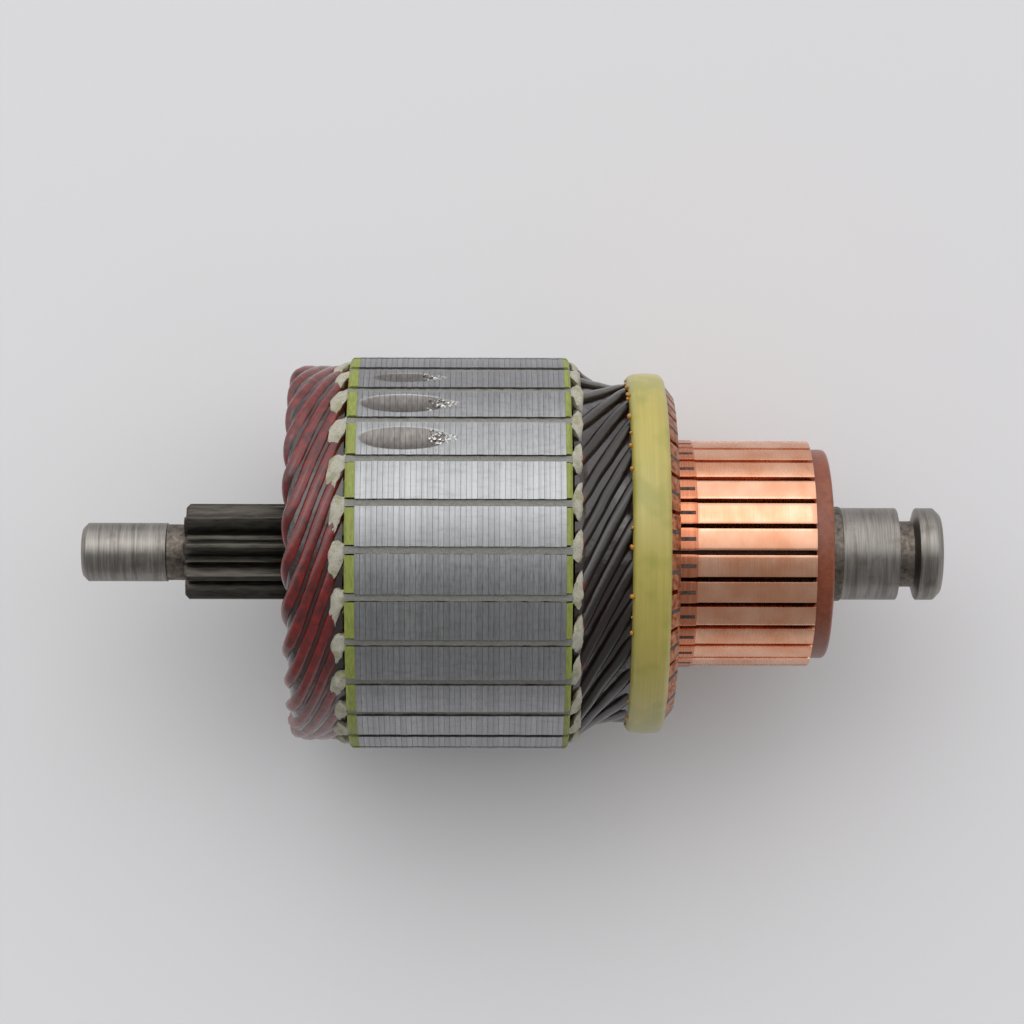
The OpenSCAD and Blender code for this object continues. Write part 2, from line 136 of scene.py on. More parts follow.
def distanceFromAxis(tree, y, z):
    flat = addNode(tree, "ShaderNodeCombineXYZ", {1: y, 2: z})
    return addNode(tree, "ShaderNodeVectorMath", {0: flat.outputs[0]}, operation="LENGTH").outputs["Value"]


def mixColours(tree, factor, a, b, blend="MIX"):
    node = addNode(tree, "ShaderNodeMix", {0: factor, 6: a, 7: b}, data_type="RGBA", blend_type=blend)
    return node.outputs[2]


def speckle(tree, vector, scale, stretch=(1, 1, 1), detail=3.0, roughness=0.55):
    # Noise in millimetres: scale is features per millimetre before the stretch
    stretched = addNode(tree, "ShaderNodeVectorMath", {0: vector, 1: stretch}, operation="MULTIPLY")
    inputs = {"Vector": stretched.outputs[0], "Scale": scale, "Detail": detail, "Roughness": roughness}
    return addNode(tree, "ShaderNodeTexNoise", inputs).outputs["Fac"]


def between(tree, value, low, high, toLow=0.0, toHigh=1.0):
    node = addNode(tree, "ShaderNodeMapRange",
                   {0: value, 1: low, 2: high, 3: toLow, 4: toHigh}, interpolation_type="SMOOTHSTEP")
    return node.outputs[0]


def bumpFrom(tree, shader, height, distance, strength=1.0):
    # distance in metres, the height of a step from 0 to 1
    bump = addNode(tree, "ShaderNodeBump", {"Height": height, "Distance": distance, "Strength": strength})
    tree.links.new(bump.outputs[0], shader.inputs["Normal"])


# Ground steel: turned, then ground between centres. The eye sees fine rings round the shaft and a soft grey
# shine.
def groundSteel():
    material, tree, shader = newMaterial("steel_ground_and_turned", Metallic=1.0)
    place = placeInPart(tree)
    rings = speckle(tree, place, 5.0, (1, 0.03, 0.03), 4, 0.7)
    coarseRings = speckle(tree, place, 1.3, (1, 0.05, 0.05), 2)
    stain = speckle(tree, place, 0.35, (1, 1, 1), 4, 0.6)
    tone = addNode(tree, "ShaderNodeValToRGB", {0: rings}, stops=[(0.3, "#74706B"), (0.7, "#A39F99")])
    stained = mixColours(tree, between(tree, stain, 0.5, 0.75, 0, 0.6), tone.outputs[0], "#6E675E")
    darkRings = mixColours(tree, between(tree, coarseRings, 0.35, 0.5, 0.45, 0), stained, "#57524C")
    tree.links.new(darkRings, shader.inputs["Base Color"])
    tree.links.new(between(tree, rings, 0.2, 0.8, 0.28, 0.5), shader.inputs["Roughness"])
    bumpFrom(tree, shader, rings, 0.012 * mm)
    return material


# Neck and hub seat: turned and left rough, with old oil baked on. The eye sees a brown-grey, dull surface.
def roughSteel():
    material, tree, shader = newMaterial("steel_rough_turned_and_stained", Metallic=1.0)
    place = placeInPart(tree)
    rings = speckle(tree, place, 3.0, (1, 0.06, 0.06), 5, 0.7)
    blotch = speckle(tree, place, 1.1, (1, 1, 1), 5, 0.65)
    tone = addNode(tree, "ShaderNodeValToRGB", {0: blotch}, stops=[(0.3, "#4A443E"), (0.7, "#8A8178")])
    tree.links.new(tone.outputs[0], shader.inputs["Base Color"])
    tree.links.new(between(tree, rings, 0.2, 0.8, 0.4, 0.62), shader.inputs["Roughness"])
    bumpFrom(tree, shader, rings, 0.03 * mm)
    return material


# Pinion: hobbed and case-hardened steel, black and slightly oily. The eye sees soft grey edges on near-black
# flanks.
def hardenedSteel():
    material, tree, shader = newMaterial("steel_case_hardened_and_oiled", Metallic=1.0)
    place = placeInPart(tree)
    hobMarks = speckle(tree, place, 1.2, (0.3, 2, 2), 3)
    tone = addNode(tree, "ShaderNodeValToRGB", {0: hobMarks}, stops=[(0.3, "#3A3733"), (0.75, "#5C5852")])
    tree.links.new(tone.outputs[0], shader.inputs["Base Color"])
    tree.links.new(between(tree, hobMarks, 0.2, 0.8, 0.34, 0.5), shader.inputs["Roughness"])
    bumpFrom(tree, shader, hobMarks, 0.02 * mm)
    return material


# Core: stamped electrical sheet, ground round after stacking. The eye sees a light grey drum with a dark line
# at every sheet, each sheet a little lighter or darker than the next.
def sheetSteel():
    material, tree, shader = newMaterial("electrical_sheet_steel_edges", Metallic=1.0)
    place = placeInPart(tree)
    x, y, z = addNode(tree, "ShaderNodeSeparateXYZ", {0: place}).outputs
    perSheet = addNode(tree, "ShaderNodeTexWhiteNoise",
                       {1: addNode(tree, "ShaderNodeMath", {0: x, 1: 0.4}, operation="SNAP").outputs[0]},
                       noise_dimensions="1D").outputs[0]
    smear = speckle(tree, place, 1.6, (0.25, 1, 1), 4, 0.6)
    fine = speckle(tree, place, 6.0, (1, 0.12, 0.12), 3, 0.6)
    tone = addNode(tree, "ShaderNodeValToRGB", {0: perSheet}, stops=[(0.0, "#97989A"), (1.0, "#A6A7A9")])
    smeared = mixColours(tree, between(tree, smear, 0.45, 0.75, 0, 0.35), tone.outputs[0], "#7F7C78")
    streaked = mixColours(tree, between(tree, fine, 0.38, 0.5, 0.22, 0), smeared, "#5F5D5B")
    # the milled cuts lie under the drum's own surface
    sunk = between(tree, distanceFromAxis(tree, y, z), coreRadius / mm - 0.12, coreRadius / mm - 0.06, 1, 0)
    milled = addNode(tree, "ShaderNodeValToRGB", {0: speckle(tree, place, 2.0, (1, 0.3, 0.3), 3)},
                     stops=[(0.3, "#6A6663"), (0.7, "#86817D")])
    tree.links.new(mixColours(tree, sunk, streaked, milled.outputs[0]), shader.inputs["Base Color"])
    tree.links.new(between(tree, fine, 0.3, 0.7, 0.34, 0.46), shader.inputs["Roughness"])
    bumpFrom(tree, shader, fine, 0.008 * mm)
    return material


# Torn flakes at the ends of the balancing cuts: torn steel with painted glints, random near-white spots that stand
# in for light caught on the folded metal.
def tornSteel():
    material, tree, shader = newMaterial("sheet_steel_torn_bright", Metallic=1.0, Roughness=0.3)
    place = placeInPart(tree)
    glint = speckle(tree, place, 3.0, (1, 1, 1), 2)
    # painted glints: random spots of near-white colour
    tone = addNode(tree, "ShaderNodeValToRGB", {0: glint}, stops=[(0.4, "#8E8C88"), (0.6, "#E4E2DE")])
    tree.links.new(tone.outputs[0], shader.inputs["Base Color"])
    return material


# Insulating plate: vulcanised fibre in a yellow-green dye. The eye sees a matt, faintly fibrous edge.
def dyedFibre():
    material, tree, shader = newMaterial("vulcanised_fibre_green", Roughness=0.55)
    place = placeInPart(tree)
    layers = speckle(tree, place, 4.0, (1, 0.2, 0.2), 4, 0.6)
    blotch = speckle(tree, place, 0.7, (1, 1, 1), 3)
    tone = addNode(tree, "ShaderNodeValToRGB", {0: layers}, stops=[(0.3, "#727B34"), (0.7, "#929B46")])
    mixed = mixColours(tree, between(tree, blotch, 0.5, 0.75, 0, 0.5), tone.outputs[0], "#8A8A4A")
    tree.links.new(mixed, shader.inputs["Base Color"])
    bumpFrom(tree, shader, layers, 0.02 * mm)
    return material


# Slot liner: aramid paper, fuzzy where it was cut, soaked with varnish in places. The eye sees speckled
# off-white with olive patches.
def aramidPaper():
    material, tree, shader = newMaterial("aramid_paper_varnished", Roughness=0.72)
    place = placeInPart(tree)
    fibres = speckle(tree, place, 5.5, (1, 1, 1), 5, 0.75)
    soaked = speckle(tree, place, 0.55, (1, 1, 1), 2)
    dots = speckle(tree, place, 3.2, (1, 1, 1), 2, 0.4)
    tone = addNode(tree, "ShaderNodeValToRGB", {0: fibres}, stops=[(0.3, "#918D7C"), (0.62, "#BFBBAD")])
    oiled = mixColours(tree, between(tree, soaked, 0.5, 0.68, 0, 0.7), tone.outputs[0], "#8C8A64")
    dotted = mixColours(tree, between(tree, dots, 0.66, 0.72, 0, 0.7), oiled, "#5D594C")
    tree.links.new(dotted, shader.inputs["Base Color"])
    bumpFrom(tree, shader, fibres, 0.09 * mm)
    return material


# Paper fold in the slot mouths: the same paper, pressed flat and grey with grinding dust.
def dustyPaper():
    material, tree, shader = newMaterial("aramid_paper_dusty", Roughness=0.65)
    place = placeInPart(tree)
    fibres = speckle(tree, place, 4.5, (0.5, 1, 1), 5, 0.7)
    tone = addNode(tree, "ShaderNodeValToRGB", {0: fibres}, stops=[(0.3, "#6C6B66"), (0.7, "#8F8E88")])
    tree.links.new(tone.outputs[0], shader.inputs["Base Color"])
    bumpFrom(tree, shader, fibres, 0.06 * mm)
    return material


# Wire: copper under a thick, clear red enamel. The eye sees deep red with a bright, sharp line along each
# wire.
def redEnamel():
    material, tree, shader = newMaterial("enamel_red_on_copper_wire", Roughness=0.3, IOR=1.5,
                                         Coat_Weight=0.5, Coat_Roughness=0.08)
    place = placeInPart(tree)
    x, y, z = addNode(tree, "ShaderNodeSeparateXYZ", {0: place}).outputs
    flow = speckle(tree, place, 0.8, (1, 1, 1), 3)
    spots = speckle(tree, place, 2.6, (1, 1, 1), 3, 0.6)
    tone = addNode(tree, "ShaderNodeValToRGB", {0: flow}, stops=[(0.3, "#3E0705"), (0.7, "#7C140E")])
    spotted = mixColours(tree, between(tree, spots, 0.62, 0.72, 0, 0.75), tone.outputs[0], "#1B100E")
    # painted light and shade: the wire is coloured near-black in the valleys and over the sunken leads, and red
    # only on the crests and noses, where it stands in the light
    paintedLitCrest = between(tree, distanceFromAxis(tree, y, z), 27.4, 28.2)
    nose = between(tree, x, -24.4, -25.4, 0, 0.9)
    paintedLitShare = addNode(tree, "ShaderNodeMath", {0: paintedLitCrest, 1: nose}, operation="MAXIMUM").outputs[0]
    # painted shade: near-black wherever the wire lies low; painted light: red on the crests and noses
    tree.links.new(mixColours(tree, paintedLitShare, "#190D0C", spotted), shader.inputs["Base Color"])
    bumpFrom(tree, shader, flow, 0.08 * mm)
    return material


# Impregnating varnish, pooled between the wires: nearly black and wet-looking.
def darkVarnish():
    material, tree, shader = newMaterial("impregnating_varnish_dark", Roughness=0.2, IOR=1.5,
                                         Coat_Weight=0.8, Coat_Roughness=0.1)
    place = placeInPart(tree)
    flow = speckle(tree, place, 0.9, (1, 1, 1), 3)
    tone = addNode(tree, "ShaderNodeValToRGB", {0: flow}, stops=[(0.3, "#120C0B"), (0.7, "#2C1713")])
    tree.links.new(tone.outputs[0], shader.inputs["Base Color"])
    bumpFrom(tree, shader, flow, 0.15 * mm)
    return material


# Banding: glass roving soaked in polyester and cured. The eye sees an even mustard yellow with a waxy shine,
# greener where the resin is thick.
def resinGlass():
    material, tree, shader = newMaterial("glass_banding_resin_soaked", Roughness=0.36, IOR=1.5,
                                         Subsurface_Weight=0.25, Subsurface_Radius=(0.0012, 0.0009, 0.0004),
                                         Coat_Weight=0.35, Coat_Roughness=0.25)
    place = placeInPart(tree)
    turns = speckle(tree, place, 1.8, (1, 0.02, 0.02), 3, 0.6)
    pools = speckle(tree, place, 0.16, (1, 1, 1), 2)
    tone = addNode(tree, "ShaderNodeValToRGB", {0: turns}, stops=[(0.3, "#A79B4C"), (0.7, "#B5A757")])
    pooled = mixColours(tree, between(tree, pools, 0.42, 0.62, 0, 0.8), tone.outputs[0], "#989440")
    tree.links.new(pooled, shader.inputs["Base Color"])
    bumpFrom(tree, shader, turns, 0.03 * mm)
    return material


# Commutator: hard-drawn copper, turned smooth and worn by brushes. The eye sees pale pink copper on the
# track, darker pink with turning lines beside the risers, and brown, varnish-stained risers.
def turnedCopper():
    material, tree, shader = newMaterial("copper_turned_and_worn", Metallic=1.0)
    place = placeInPart(tree)
    _, y, z = addNode(tree, "ShaderNodeSeparateXYZ", {0: place}).outputs
    lines = speckle(tree, place, 7.0, (1, 0.015, 0.015), 4, 0.7)
    worn = speckle(tree, place, 0.22, (1, 1, 1), 3, 0.5)
    varnish = speckle(tree, place, 1.1, (1, 1, 1), 4, 0.6)
    radius = distanceFromAxis(tree, y, z)
    onRiser = between(tree, radius, trackRadius / mm + 0.6, trackRadius / mm + 1.2)
    unworn = between(tree, radius, trackRadius / mm + 0.04, trackRadius / mm + 0.09)
    track = addNode(tree, "ShaderNodeValToRGB", {0: worn}, stops=[(0.35, "#DC9C7A"), (0.65, "#E8B497")])
    turned = addNode(tree, "ShaderNodeValToRGB", {0: lines}, stops=[(0.3, "#B9694A"), (0.7, "#D99372")])
    riser = addNode(tree, "ShaderNodeValToRGB", {0: varnish}, stops=[(0.35, "#7A4224"), (0.68, "#C98A66")])
    body = mixColours(tree, unworn, track.outputs[0], turned.outputs[0])
    tree.links.new(mixColours(tree, onRiser, body, riser.outputs[0]), shader.inputs["Base Color"])
    tree.links.new(between(tree, lines, 0.25, 0.75, 0.2, 0.33), shader.inputs["Roughness"])
    bumpFrom(tree, shader, lines, 0.006 * mm)
    return material


# Mica between the bars: split sheet, sawn under the brush track, grey-brown and dead matt.
def splitMica():
    material, tree, shader = newMaterial("mica_split_and_sawn", Roughness=0.7)
    place = placeInPart(tree)
    flakes = speckle(tree, place, 3.0, (0.6, 1, 1), 4, 0.6)
    tone = addNode(tree, "ShaderNodeValToRGB", {0: flakes}, stops=[(0.35, "#2E2623"), (0.7, "#6A5A50")])
    tree.links.new(tone.outputs[0], shader.inputs["Base Color"])
    bumpFrom(tree, shader, flakes, 0.05 * mm)
    return material


# Hub: phenolic resin moulded round the bars, then faced. The eye sees a warm brown, satin ring.
def mouldedPhenolic():
    material, tree, shader = newMaterial("phenolic_moulded_brown", Roughness=0.4, Coat_Weight=0.3,
                                         Coat_Roughness=0.3)
    place = placeInPart(tree)
    grain = speckle(tree, place, 1.2, (1, 1, 1), 4, 0.6)
    tone = addNode(tree, "ShaderNodeValToRGB", {0: grain}, stops=[(0.3, "#6E3115"), (0.7, "#8A4422")])
    tree.links.new(tone.outputs[0], shader.inputs["Base Color"])
    bumpFrom(tree, shader, grain, 0.02 * mm)
    return material


# Resin beads that ran out of the banding: clear amber.
def amberResin():
    return newMaterial("polyester_resin_amber", Base_Color="#C98A1E", Roughness=0.12, IOR=1.52,
                       Transmission_Weight=0.35, Coat_Weight=0.5)[0]


finishes = {
    "ground": groundSteel(),
    "rough": roughSteel(),
    "hardened": hardenedSteel(),
    "sheet": sheetSteel(),
    "burr": tornSteel(),
    "fibre": dyedFibre(),
    "paper": aramidPaper(),
    "dusty": dustyPaper(),
    "enamel": redEnamel(),
    "varnish": darkVarnish(),
    "banding": resinGlass(),
    "copper": turnedCopper(),
    "mica": splitMica(),
    "phenolic": mouldedPhenolic(),
    "amber": amberResin(),
}
print("materials made")


# ---- modelling helpers ----


def editMode(kind="VERT"):
    bpy.ops.object.mode_set(mode="EDIT")
    bpy.ops.mesh.select_mode(type=kind)
    bpy.ops.mesh.select_all(action="SELECT")


def selectNothing(kind):
    editMode(kind)
    bpy.ops.mesh.select_all(action="DESELECT")
    objectMode()


def objectMode():
    bpy.ops.object.mode_set(mode="OBJECT")


def onlyThis(piece):
    bpy.ops.object.select_all(action="DESELECT")
    piece.select_set(True)
    bpy.context.view_layer.objects.active = piece


def settle(piece):
    # the place goes into the mesh, and the object stays at the origin
    onlyThis(piece)
    bpy.ops.object.transform_apply(location=True, rotation=True, scale=True)


def drawLine(name, points):
    # a plane merged to one point is the pen that is extruded from corner to corner
    bpy.ops.object.select_all(action="DESELECT")
    bpy.ops.mesh.primitive_plane_add(size=mm, location=points[0])
    piece = bpy.context.object
    piece.name = name
    settle(piece)
    editMode()
    bpy.ops.mesh.merge(type="CENTER")
    for here, there in zip(points, points[1:]):
        step = Vector(there) - Vector(here)
        bpy.ops.mesh.extrude_region_move(TRANSFORM_OT_translate={"value": step})
    return piece


def cleanMesh(distance=0.001 * mm):
    bpy.ops.mesh.select_all(action="SELECT")
    bpy.ops.mesh.remove_doubles(threshold=distance)
    bpy.ops.mesh.normals_make_consistent(inside=False)


def applyModifier(piece, kind, **settings):
    onlyThis(piece)
    modifier = piece.modifiers.new(kind.lower(), kind)
    for key, value in settings.items():
        setattr(modifier, key, value)
    bpy.ops.object.modifier_apply(modifier=modifier.name)


def roundEdges(piece, width, segments=2, angle=30):
    applyModifier(piece, "BEVEL", width=width, segments=segments, limit_method="ANGLE",
                  angle_limit=math.radians(angle), harden_normals=False)


def smooth(piece, angle=35):
    onlyThis(piece)
    bpy.ops.object.shade_smooth_by_angle(angle=math.radians(angle))


def turnedPiece(name, profile, steps=128, edge=0.0, segments=2):
    # profile holds [place along the shaft, distance from the axis]
    piece = drawLine(name, [(x, 0, r) for x, r in profile])
    bpy.ops.mesh.select_all(action="SELECT")
    bpy.ops.mesh.spin(steps=steps, angle=math.tau, center=(0, 0, 0), axis=(1, 0, 0))
    cleanMesh()
    objectMode()
    if edge:
        roundEdges(piece, edge, segments)
    smooth(piece)
    return piece


def copyOf(piece, name, matrix):
    copy = piece.copy()
    copy.data = piece.data.copy()
    copy.name = name
    bpy.context.scene.collection.objects.link(copy)
    copy.data.transform(matrix)
    return copy


def joined(pieces, name):
    bpy.ops.object.select_all(action="DESELECT")
    for piece in pieces:
        piece.select_set(True)
    bpy.context.view_layer.objects.active = pieces[0]
    if len(pieces) > 1:
        bpy.ops.object.join()
    pieces[0].name = name
    return pieces[0]


def aboutShaft(degrees):
    # positive turns from straight up towards -Y
    return Matrix.Rotation(math.radians(degrees), 4, "X")


def finishPiece(piece, finish, slot, *replaced):
    for entry in finish if isinstance(finish, list) else [finish]:
        if entry not in [m.name for m in piece.data.materials if m]:
            piece.data.materials.append(finishes[entry])
    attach(piece, "root")
    if replaced:
        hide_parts(*replaced)
    return piece


def crumple(piece, amount, scale, seed, where=None):
    # pushes each point along a seeded noise field; amount and scale in metres
    offset = Vector((seed * 7.13, seed * 3.71, seed * 1.97))
    for vertex in piece.data.vertices:
        share = 1.0 if where is None else where(vertex.co)
        if share:
            vertex.co += noise.noise_vector(vertex.co / scale + offset) * amount * share


# ---- coils ----

coil = dict(
    wire=2.1 * mm,
    outer=27.42 * mm,  # wire's distance from the axis in the outer layer of a slot
    inner=24.92 * mm,
    leadOuter=24.7 * mm,
    leadInner=22.5 * mm,
    dropLength=6 * mm,
    straight=0.6 * mm,
    span=7,  # slots from one leg to the other
    lead=3,  # bars that each leg moves round by
    bendShare=0.25,
    noseShare=0.09,
    sides=4,  # bevel resolution of the wire
    bendPoints=8,
    slopePoints=6,
)


def roundCorner(a, b, c, fromShare, toShare, points):
    p, q = b + (a - b) * fromShare, b + (c - b) * toShare
    ts = [i / points for i in range(points + 1)]
    return [p * (1 - t) ** 2 + b * 2 * t * (1 - t) + q * t * t for t in ts]


def slopeBetween(p, q, points):
    return [p.lerp(q, i / (points + 1)) for i in range(1, points + 1)]


def ease(x):
    t = min(1, max(0, x))
    return t * t * (3 - 2 * t)


def settling(x):
    t = min(1, max(0, x))
    return 1 - (1 - t) ** 2


def coilRadius(x, angle):
    dive = ease(0.5 + (angle / pitch - coil["span"] / 2))
    out = x - commutatorPlateFace
    outerDrop = settling((out - coil["straight"]) / coil["dropLength"])
    innerDrop = settling(out / (coil["dropLength"] - coil["wire"] / 2))
    outer = coil["outer"] + (coil["leadOuter"] - coil["outer"]) * outerDrop
    inner = coil["inner"] + (coil["leadInner"] - coil["inner"]) * innerDrop
    return outer + (inner - outer) * dive


def coilWay():
    # corners of [place along the shaft, degrees], from one riser to the other, as in the solids
    far = coil["span"] * pitch
    lead = coil["lead"] * pitch - slots["barTurn"]
    straight = coil["straight"]
    plateOut, plateIn = drivePlateFace - straight, commutatorPlateFace + straight
    riserIn = riserStart - straight - 0.1 * mm
    nose = noseEnd + coil["wire"] / 2
    tip = plateOut - (plateOut - nose) / (1 - coil["noseShare"] / 2)
    farLead = far + lead + 2 * slots["barTurn"]
    corners = [Vector(c) for c in [
        (leadEnd, -lead), (riserIn, -lead), (plateIn, 0), (plateOut, 0), (tip, far / 2),
        (plateOut, far), (plateIn, far), (riserIn, farLead), (leadEnd, farLead)]]
    way = [corners[0]]
    for i in range(1, 8):
        a, b, c = corners[i - 1:i + 2]
        if i == 4:
            bend = roundCorner(a, b, c, coil["noseShare"], coil["noseShare"], coil["bendPoints"])
        elif i in (1, 3, 6):  # straight before the corner
            bend = roundCorner(a, b, c, straight / abs(b.x - a.x), coil["bendShare"], coil["bendPoints"])
        else:
            bend = roundCorner(a, b, c, coil["bendShare"], straight / abs(b.x - c.x), coil["bendPoints"])
        way += slopeBetween(way[-1], bend[0], coil["slopePoints"]) + bend
    return way + [corners[8]]


def sweptWire(name, points, radii, thickness, sides):
    data = bpy.data.curves.new(name, "CURVE")
    data.dimensions = "3D"
    data.bevel_depth = thickness
    data.bevel_resolution = sides
    data.use_fill_caps = True
    line = data.splines.new("POLY")
    line.points.add(len(points) - 1)
    for point, place, radius in zip(line.points, points, radii):
        point.co = (*place, 1)
        point.radius = radius
    piece = bpy.data.objects.new(name, data)
    bpy.context.scene.collection.objects.link(piece)
    onlyThis(piece)
    bpy.ops.object.convert(target="MESH")
    piece = bpy.context.object
    piece.name = name
    editMode()
    cleanMesh()
    objectMode()
    return piece


def makeCoils():
    way = coilWay()
    points = [onPart(p.x, p.y + slots["turn"], coilRadius(p.x, p.y)) for p in way]
    first = sweptWire("coil", points, [1.0] * len(points), coil["wire"] / 2, coil["sides"])
    smooth(first, 60)
    rng = random.Random(11)
    for k in range(slots["count"]):
        name = f"coil_{k + 1:02d}"
        wire = copyOf(first, f"wire_{k + 1:02d}", aboutShaft(k * pitch))
        crumple(wire, 0.10 * mm, 3.5 * mm, k + rng.random(), outsideCore)
        finishPiece(wire, "enamel", "enamelled_wire", name)
    bpy.data.objects.remove(first)


def outsideCore(place):
    # 0 inside the core and the risers, 1 in the end windings
    if place.x < drivePlateFace:
        return ease((drivePlateFace - place.x) / (2 * mm))
    return ease((place.x - commutatorPlateFace) / (2 * mm)) * ease((bandStart - place.x) / mm)


makeCoils()
print("coils wound")

# ---- core ----

core = dict(
    sheets=38,
    gap=0.035 * mm,
    rollover=0.10 * mm,  # width of the rounded edge that the punch leaves
    rolloverDepth=0.035 * mm,
    arcPoints=6,
    slotBottom=23.5 * mm,
    slotHalf=1.38 * mm,
    lip=0.95 * mm,
    bore=7.75 * mm,
    wheel=40 * mm,  # the balancing cutter and its rounded rim
    rim=4.6 * mm,
    cutPlace=-8.4 * mm,
    cutDepths={-2: 0.61 * mm, -3: 0.59 * mm, -4: 0.35 * mm},
)


def toothOutline():
    # half slot, tooth, half slot, as [degrees from the tooth's middle, radius], closed over the bore
    def at(r, half):
        return pitch / 2 - math.degrees(math.asin(half / r))

    slotTop = coreRadius - core["lip"]
    mouthEdge = at(coreRadius, slots["mouth"] / 2)
    side = [(pitch / 2, core["bore"]), (pitch / 2, core["slotBottom"]),
            (at(core["slotBottom"], core["slotHalf"]), core["slotBottom"]),
            (at(slotTop, core["slotHalf"]), slotTop), (at(slotTop, slots["mouth"] / 2), slotTop)]
    arc = [(mouthEdge * (1 - 2 * i / core["arcPoints"]), coreRadius) for i in range(core["arcPoints"] + 1)]
    return side + arc + [(-a, r) for a, r in reversed(side)]


def makeSheet():
    outline = [onPart(0, a, r) for a, r in toothOutline()]
    sheet = drawLine("sheet", outline)
    bpy.ops.mesh.select_all(action="SELECT")
    bpy.ops.mesh.edge_face_add()
    bpy.ops.mesh.spin(steps=slots["count"], dupli=True, angle=math.tau, center=(0, 0, 0), axis=(1, 0, 0))
    cleanMesh()
    thickness = (coreEnd - coreStart) / core["sheets"] - core["gap"]
    shrink = 1 - core["rolloverDepth"] / coreRadius
    bpy.ops.transform.resize(value=(1, shrink, shrink), center_override=(0, 0, 0))
    bpy.ops.mesh.extrude_region_move(TRANSFORM_OT_translate={"value": (core["rollover"], 0, 0)})
    bpy.ops.transform.resize(value=(1, 1 / shrink, 1 / shrink), center_override=(0, 0, 0))
    bpy.ops.mesh.extrude_region_move(TRANSFORM_OT_translate={"value": (thickness - core["rollover"], 0, 0)})
    cleanMesh()
    objectMode()
    return sheet


def makeCutter(tooth, depth):
    bpy.ops.object.select_all(action="DESELECT")
    bpy.ops.mesh.primitive_torus_add(major_radius=core["wheel"] - core["rim"], minor_radius=core["rim"],
                                     major_segments=360, minor_segments=64, rotation=(math.pi / 2, 0, 0),
                                     location=(core["cutPlace"], 0, coreRadius + core["wheel"] - depth))
    cutter = bpy.context.object
    settle(cutter)
    cutter.data.transform(aboutShaft(slots["turn"] + (tooth - 0.5) * pitch))
    return cutter


def makeCore():
    sheet = makeSheet()
    cutters = [makeCutter(tooth, depth) for tooth, depth in core["cutDepths"].items()]
    cutter = joined(cutters, "cutter")
    step = (coreEnd - coreStart) / core["sheets"]
    reach = math.sqrt(core["wheel"] ** 2 - (core["wheel"] - max(core["cutDepths"].values())) ** 2)
    rng = random.Random(5)
    stack = []
    for i in range(core["sheets"]):
        x = coreStart + i * step + core["gap"] / 2
        size = 1 - rng.random() * 0.03 * mm / coreRadius
        turn = aboutShaft(slots["turn"] + pitch / 2 + rng.uniform(-0.04, 0.04))
        place = Matrix.Translation((x, 0, 0)) @ turn @ Matrix.Diagonal((1, size, size, 1))
        one = copyOf(sheet, f"sheet_{i}", place)
        if abs(x + step / 2 - core["cutPlace"]) < reach + step:
            applyModifier(one, "BOOLEAN", operation="DIFFERENCE", object=cutter, solver="EXACT")
        stack.append(one)
    bpy.data.objects.remove(sheet)
    bpy.data.objects.remove(cutter)
    pile = joined(stack, "core_sheets")
    smooth(pile, 20)
    finishPiece(pile, "sheet", "sheet_steel", "core_laminations")


makeCore()
print("core stacked")

# ---- banding ----

band = dict(
    round=1.25 * mm,
    crown=0.1 * mm,
)


def makeBanding():
    r, x0, x1 = band["round"], bandStart, bandEnd
    inner = riserRadius - 0.02 * mm
    arc = [(1 - math.sin(math.radians(a)), math.cos(math.radians(a))) for a in (90, 70, 50, 30, 10)]
    left = [(x0 + r * s, bandRadius - band["crown"] - r * (1 - c)) for s, c in arc]
    right = [(x1 - r * s, bandRadius - band["crown"] - r * (1 - c)) for s, c in reversed(arc)]
    middle = [((x0 + x1) / 2, bandRadius)]
    line = [(x1, inner), (x0, inner)] + left + middle + right + [(x1, inner)]
    ring = turnedPiece("glass_banding", line, 192)
    crumple(ring, 0.05 * mm, 6 * mm, 3)
    finishPiece(ring, "banding", "resin_glass", "banding")


makeBanding()
print("banding wound")

# ---- resin beads, and the varnish that fills the end windings ----

varnish = dict(
    above=0.55 * mm,  # how high it stands over the middle of the outer wires
    aboveLeads=0.15 * mm,
    depth=4.2 * mm,
    noseIn=0.75 * mm,  # how far it stays behind the coils' noses
    filletLength=1.3 * mm,
    filletHeight=1.0 * mm,
    wave=0.12 * mm,
    beads=16,
)


def makeDriveVarnish():
    top = coil["outer"] + varnish["above"]
    start, end = noseEnd + varnish["noseIn"], drivePlateFace - 0.3 * mm
    nose = [(start + 1.7 * mm * (1 - math.cos(a)), top - 1.9 * mm * (1 - math.sin(a)))
            for a in (0, 0.35, 0.7, 1.05, 1.35)]
    line = nose + [(start + 2.4 * mm, top), (end, top), (end, top - varnish["depth"]),
                   (start + 0.6 * mm, top - varnish["depth"]), nose[0]]
    bed = turnedPiece("varnish_drive_end", line, 216)
    crumple(bed, varnish["wave"], 2.2 * mm, 21)
    smooth(bed, 60)
    finishPiece(bed, "varnish", "enamelled_wire")


def makeLeadVarnish():
    start, end = commutatorPlateFace + 0.3 * mm, bandStart + 0.4 * mm
    top = []
    for i in range(13):
        x = start + (end - start) * i / 12
        fillet = max(0, 1 - (end - x) / varnish["filletLength"]) ** 2 * varnish["filletHeight"]
        rise = varnish["above"] if x < start + mm else varnish["aboveLeads"]
        top.append((x, coilRadius(x, 0) + rise + fillet))
    low = [(end, coil["leadInner"] - mm), (start, coil["inner"] - mm)]
    bed = turnedPiece("varnish_commutator_end", top + low + [top[0]], 216)
    crumple(bed, varnish["wave"], 2.2 * mm, 22)
    smooth(bed, 60)
    finishPiece(bed, "varnish", "enamelled_wire")


